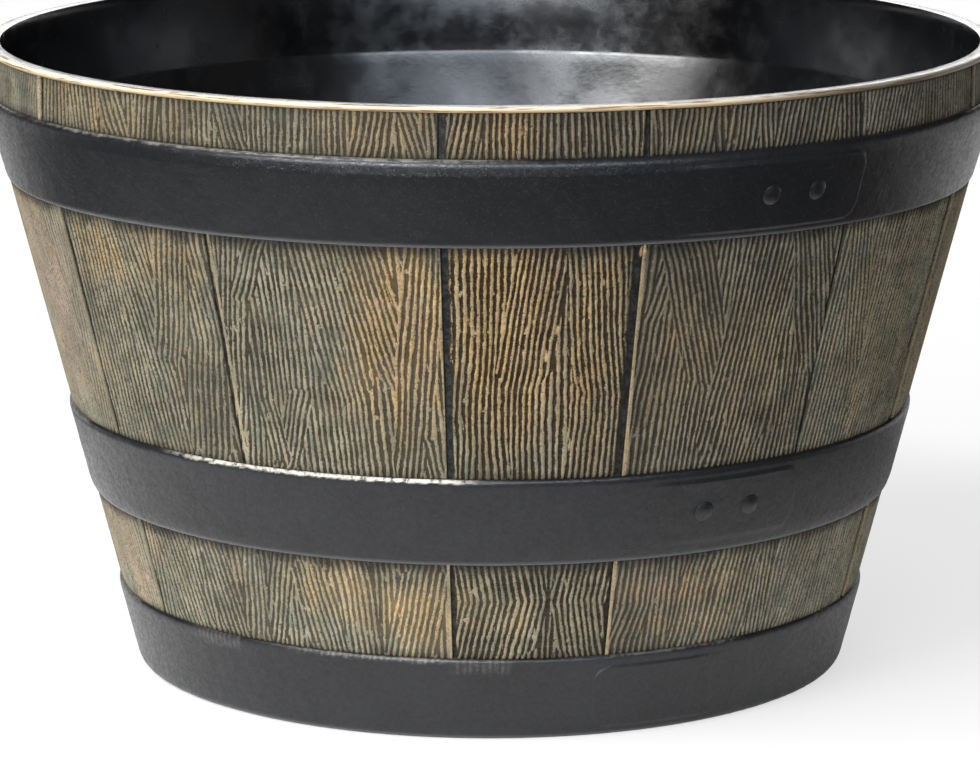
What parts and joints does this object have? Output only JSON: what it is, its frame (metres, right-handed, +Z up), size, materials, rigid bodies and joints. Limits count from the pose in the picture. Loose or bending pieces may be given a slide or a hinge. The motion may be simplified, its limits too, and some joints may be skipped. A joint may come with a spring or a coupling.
{
  "type": "half-barrel planter",
  "caption": "Half-barrel planter: thin moulded tub wrapped in wood-effect staves and riveted hoops, with a flat rim and a lift-out drain plug.",
  "frame": {"origin": "on the ground, under the middle of the floor", "axes": "+Z up along the barrel's axis; -Y is the front, and the strap ends with the rivets lie to its right, towards +X"},
  "size_m": [0.5208, 0.5208, 0.326],
  "materials": {
    "tub_black": "smooth moulded black, satin inside, flat rim",
    "stave_wash": "black plastic with raised grain, tan and grey-green paint wash on the ridges",
    "hoop_black": "blue-black plastic, finely pitted like old iron",
    "plug_rubber": "plain black rubber"
  },
  "bodies": {
    "planter": {"tub": "tub_black", "stave_01": "stave_wash", "stave_02": "stave_wash", "stave_03": "stave_wash", "stave_04": "stave_wash", "stave_05": "stave_wash", "stave_06": "stave_wash", "stave_07": "stave_wash", "stave_08": "stave_wash", "stave_09": "stave_wash", "stave_10": "stave_wash", "stave_11": "stave_wash", "stave_12": "stave_wash", "stave_13": "stave_wash", "stave_14": "stave_wash", "upper_hoop": "hoop_black", "middle_hoop": "hoop_black", "lower_hoop": "hoop_black", "upper_hoop_rivets": "hoop_black", "middle_hoop_rivets": "hoop_black"},
    "plug": {"drain_plug": "plug_rubber"}
  },
  "joints": [
    {"name": "plug_lift", "type": "slide", "parent": "planter", "child": "plug", "axis": [0, 0, 1], "range_m": [0, 0.34]}
  ]
}
